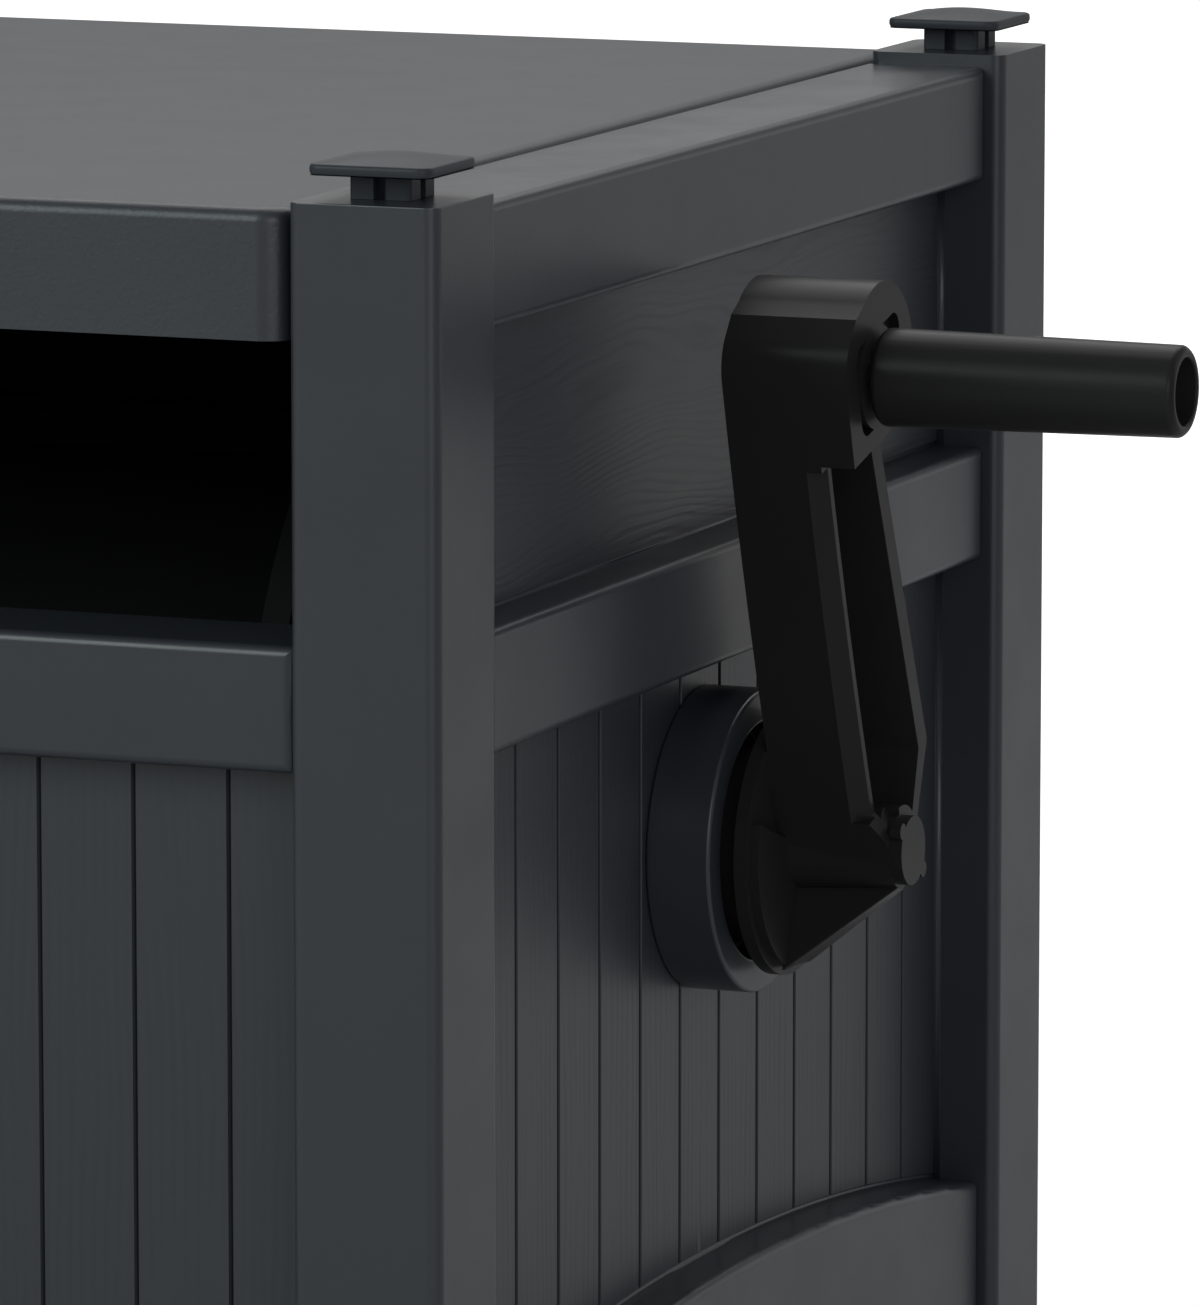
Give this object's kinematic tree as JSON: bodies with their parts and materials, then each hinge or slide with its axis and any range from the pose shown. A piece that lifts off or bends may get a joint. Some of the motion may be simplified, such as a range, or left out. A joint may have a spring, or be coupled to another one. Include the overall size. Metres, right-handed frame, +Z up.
{
  "type": "hose reel box",
  "caption": "Plank-walled garden box on capped corner posts with a hinged lid, a hose slot in front and an inner hose reel turned by a side crank.",
  "frame": {"origin": "on the floor under the middle of the box, on the underside of the base tray", "axes": "+X to the crank side along the reel axis, -Y to the front with the hose slot, +Z up"},
  "size_m": [0.8903, 0.516, 0.4826],
  "materials": {
    "box_plastic": "satin, wood-grained panels",
    "black_plastic": "satin",
    "reel_plastic": "satin",
    "crank_plastic": "semi-gloss",
    "bearing_plastic": "smooth",
    "steel": "zinc plated",
    "brass": "turned",
    "rubber": "matt"
  },
  "bodies": {
    "case": {"post_front_left": "box_plastic", "post_front_right": "box_plastic", "post_rear_left": "box_plastic", "post_rear_right": "box_plastic", "cap_front_left": "box_plastic", "cap_front_right": "box_plastic", "cap_rear_left": "box_plastic", "cap_rear_right": "box_plastic", "foot_front_left": "black_plastic", "foot_front_right": "black_plastic", "foot_rear_left": "black_plastic", "foot_rear_right": "black_plastic", "front_panel": "box_plastic", "rear_panel": "box_plastic", "left_side_panel": "box_plastic", "right_side_panel": "box_plastic", "base_tray": "reel_plastic", "lid_hinge_pins": "steel", "crank_collar": "box_plastic", "crank_collar_nut": "black_plastic", "crank_bush": "bearing_plastic", "inlet_collar": "box_plastic", "inlet_collar_nut": "black_plastic", "inlet_bush": "bearing_plastic", "inlet_tube": "brass", "inlet_lock_nut": "brass", "inlet_o_rings": "rubber"},
    "lid": {"lid": "box_plastic"},
    "reel": {"reel_drum": "reel_plastic", "left_reel_flange": "reel_plastic", "right_reel_flange": "reel_plastic", "drum_tie_rods": "steel", "tie_rod_nuts": "steel", "reel_bush": "bearing_plastic", "swivel_elbow": "black_plastic", "hose_outlet": "brass", "crank_shaft": "black_plastic", "shaft_screws": "steel", "crank_arm": "crank_plastic", "crank_bolt": "steel", "hub_cap": "crank_plastic", "grip_spindle": "steel", "grip_nut": "steel"},
    "grip": {"crank_grip": "crank_plastic"}
  },
  "joints": [
    {"name": "lid_hinge", "type": "hinge", "parent": "case", "child": "lid", "pos_m": [0, 0.244, 0.4595], "axis": [-1, 0, 0], "range_deg": [0, 100]},
    {"name": "reel_spin", "type": "hinge", "parent": "case", "child": "reel", "pos_m": [0, 0, 0.252], "axis": [1, 0, 0], "continuous": true},
    {"name": "grip_spin", "type": "hinge", "parent": "reel", "child": "grip", "pos_m": [0.4168, -0.03677, 0.39948], "axis": [1, 0, 0], "continuous": true}
  ]
}
